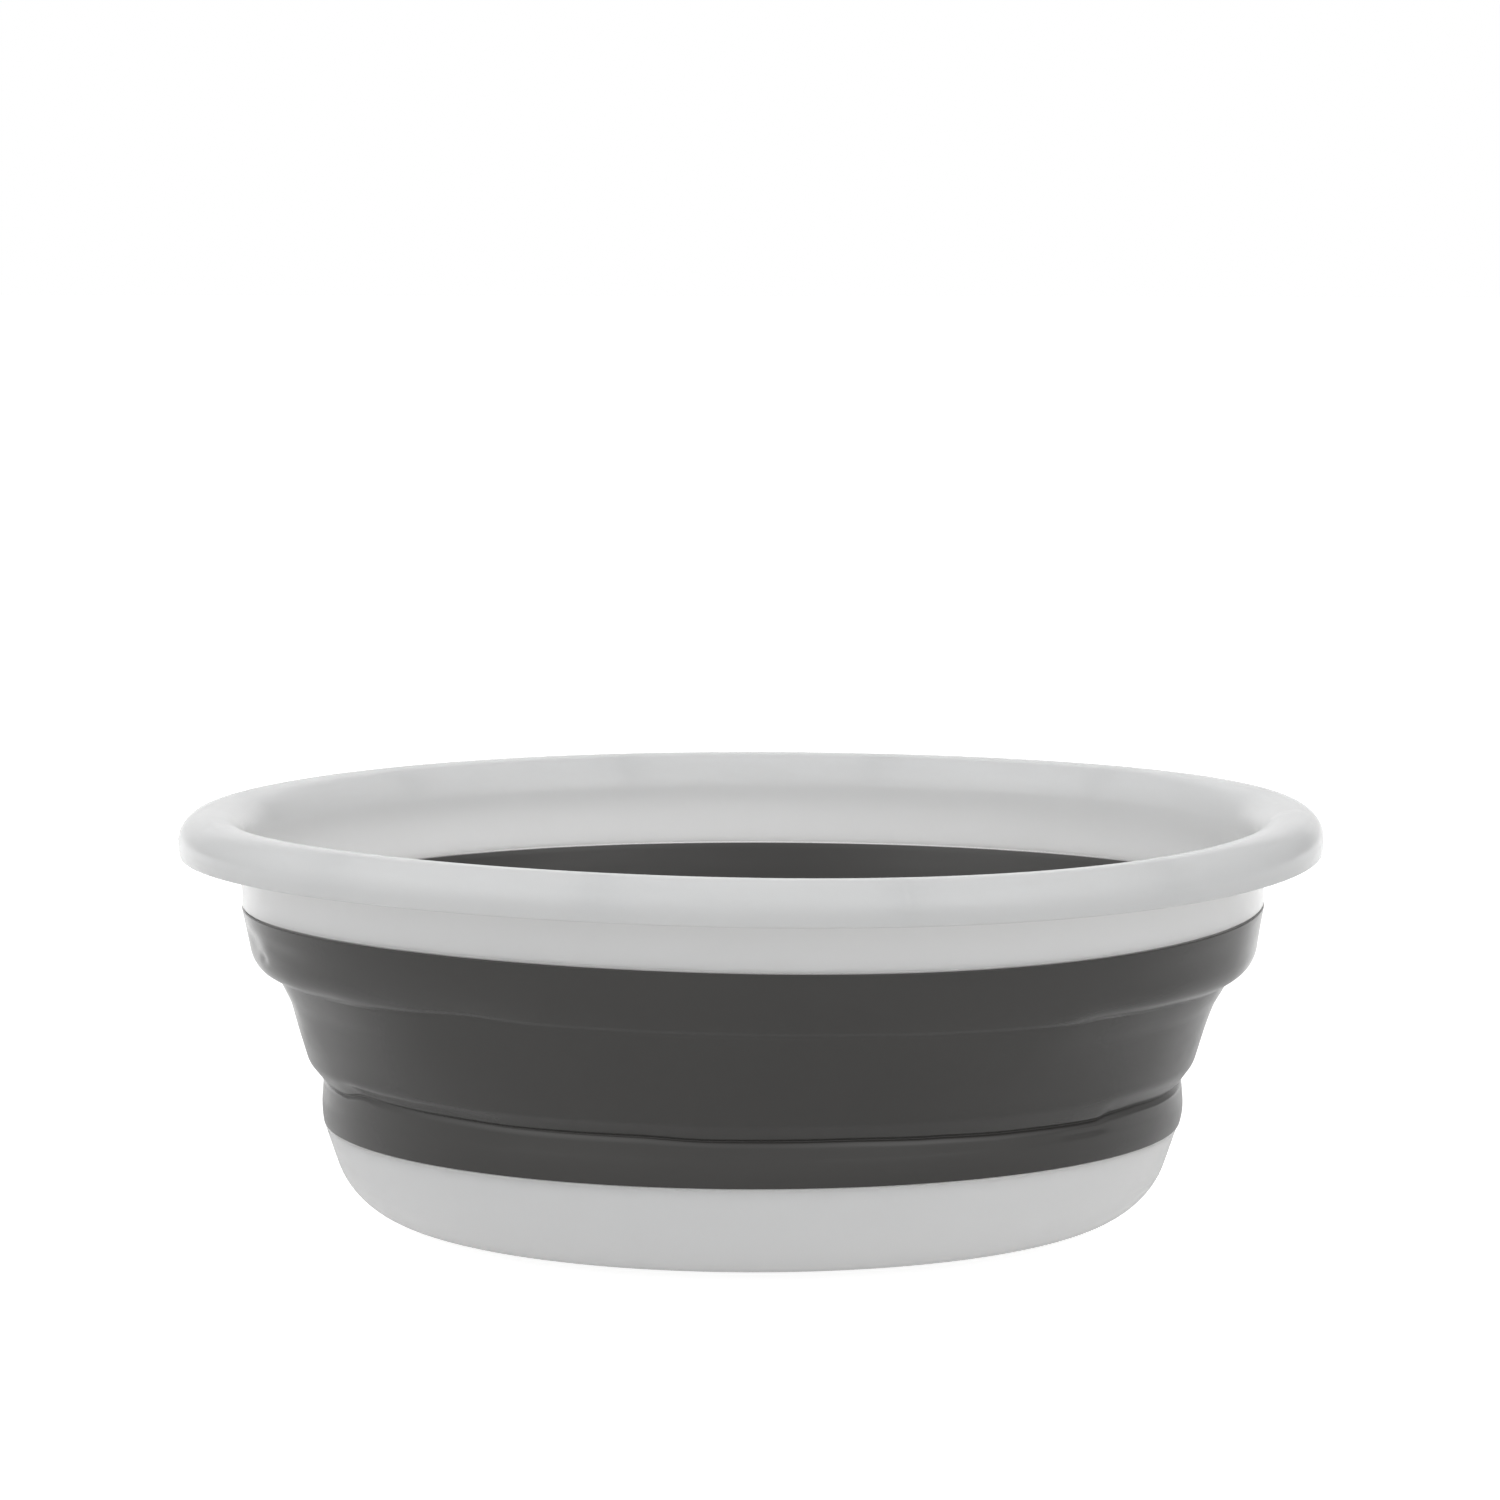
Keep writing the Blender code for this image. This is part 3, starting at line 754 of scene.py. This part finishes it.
def addCamera(shape):
    camera = bpy.data.objects.new("camera", bpy.data.cameras.new("camera"))
    camera.data.sensor_width = shape["sensor"]
    camera.data.lens = shape["sensor"] * shape["focalPixels"] / shape["imagePixels"]
    camera.location = (shape["aside"], -shape["distance"], tableTop + shape["height"])
    tipped = Matrix.Rotation(math.radians(90 - shape["pitch"]), 3, "X")
    rolled = Matrix.Rotation(math.radians(shape["roll"]), 3, "Z")
    camera.rotation_euler = (tipped @ rolled).to_euler()
    bpy.context.scene.collection.objects.link(camera)
    bpy.context.scene.camera = camera


addCamera(cameraSet)
print("camera placed")

# White studio: soft light from all round, stronger from two sides in front, and a white backdrop
studio = {
    "allRound": 0.25,
    "sides": [
        # name, towards, sharpness, strength
        ("front left", (-0.7, -0.7, 0.5), 6, 1.14),
        ("front right", (0.7, -0.7, 0.5), 6, 1.40),
        ("front", (0, -1, 0.2), 6, 0.28),
        ("left", (-1, 0, 0.15), 6, 0.48),
        ("right", (1, 0, 0.15), 6, 0.10),
        ("above left", (-0.7, 0, 0.7), 6, 0.60),
        ("above right", (0.7, 0, 0.7), 6, 0.28),
        ("above behind", (0, 0.7, 0.7), 6, 0.34),
        ("behind", (-0.05, 1, 0.05), 20, 2.20),
    ],
    "white": 1.0,                   # what is seen round the basin
    "backdrop": (-0.05, 1, 0),      # towards its middle, for what mirrors it
    "backdropEdges": (34, 19),      # degrees off its middle, where it starts and where it is full
    "sweepEdges": (62, 30),         # the same for the floor that leads up to it
    "sweepShadeReach": (0.28, 0.42),      # distance from the basin's axis over which that begins; nearer the basin its white in reflections is held back, painted shade for the basin's shadow on the floor
    "floorColour": (0.60, 0.60, 0.60),
    "floorRoughness": 0.9,
    "floorReach": 8,                # from the basin to its edges
    "floorDrop": 0.0001,            # below the foot ring
    "floorGlow": 0.12,              # the table is lit through from below
    "floorSeen": 0.84,              # what is seen of that, which keeps it white
    "floorMirrored": 0.22,          # share of that white in reflections, off the sweep
}


def facing(tree, way, direction):
    # cosine of the angle between a way and a direction
    aim = tuple(Vector(direction).normalized())
    cosine = node(tree, "ShaderNodeVectorMath", {0: way, 1: aim}, operation="DOT_PRODUCT")
    return cosine.outputs["Value"]


def towardsBackdrop(tree, way, look, edges):
    start, full = [math.cos(math.radians(a)) for a in look[edges]]
    return ranged(tree, facing(tree, way, look["backdrop"]), start, full)


def seenWhite(tree, backdrop):
    # share of white: everywhere for the camera, and where the backdrop is for what shows in a
    # reflection or through a clear piece
    ways = node(tree, "ShaderNodeLightPath").outputs
    mirrored = sums(tree, "MAXIMUM", ways["Is Glossy Ray"], ways["Is Transmission Ray"])
    inMirror = sums(tree, "MULTIPLY", mirrored, backdrop)
    return sums(tree, "MAXIMUM", ways["Is Camera Ray"], inMirror)


def makeWorld(look):
    world = bpy.data.worlds.new("whiteRoom")
    bpy.context.scene.world = world
    world.use_nodes = True
    tree = world.node_tree
    background = tree.nodes["Background"]
    background.inputs["Color"].default_value = (1, 1, 1, 1)
    way = node(tree, "ShaderNodeTexCoord").outputs["Generated"]
    light = node(tree, "ShaderNodeValue").outputs[0]
    light.default_value = look["allRound"]
    for name, towards, sharpness, strength in look["sides"]:
        # a soft lobe: strength times e to the power of sharpness times (cosine - 1)
        power = sums(tree, "MULTIPLY_ADD", facing(tree, way, towards), sharpness, -sharpness)
        lobe = sums(tree, "EXPONENT", power)
        light = sums(tree, "MULTIPLY_ADD", lobe, strength, light, label=name)
    share = seenWhite(tree, towardsBackdrop(tree, way, look, "backdropEdges"))
    shown = node(tree, "ShaderNodeMix", {0: share, 2: light, 3: look["white"]})
    tree.links.new(shown.outputs[0], background.inputs["Strength"])


def makeFloor(look):
    material = bpy.data.materials.new("paleFloor")
    material.use_nodes = True
    tree = material.node_tree
    shader = tree.nodes["Principled BSDF"]
    shader.inputs["Base Color"].default_value = (*look["floorColour"], 1)
    shader.inputs["Roughness"].default_value = look["floorRoughness"]
    shader.inputs["Specular IOR Level"].default_value = 0.0
    shader.inputs["Emission Color"].default_value = (1, 1, 1, 1)
    place = node(tree, "ShaderNodeTexCoord").outputs["Object"]
    way = node(tree, "ShaderNodeVectorMath", {0: place}, operation="NORMALIZE").outputs["Vector"]
    away = node(tree, "ShaderNodeVectorMath", {0: place}, operation="LENGTH").outputs["Value"]
    # painted shade: near the basin the sweep's white in reflections is held back, where the basin's
    # shadow falls on the floor
    sweep = sums(tree, "MULTIPLY", towardsBackdrop(tree, way, look, "sweepEdges"),
                 ranged(tree, away, *look["sweepShadeReach"]))
    white = seenWhite(tree, sums(tree, "MAXIMUM", sweep, look["floorMirrored"]))
    glow = ranged(tree, white, 0, 1, look["floorGlow"], look["floorSeen"])
    tree.links.new(glow, shader.inputs["Emission Strength"])
    sheet = bmesh.new()
    bmesh.ops.create_grid(sheet, x_segments=1, y_segments=1, size=look["floorReach"])
    bmesh.ops.translate(sheet, verts=sheet.verts, vec=(0, 0, tableTop - look["floorDrop"]))
    finished("floor", sheet, material)


makeWorld(studio)
makeFloor(studio)
bpy.context.scene.view_settings.view_transform = "Standard"
print("studio lit")
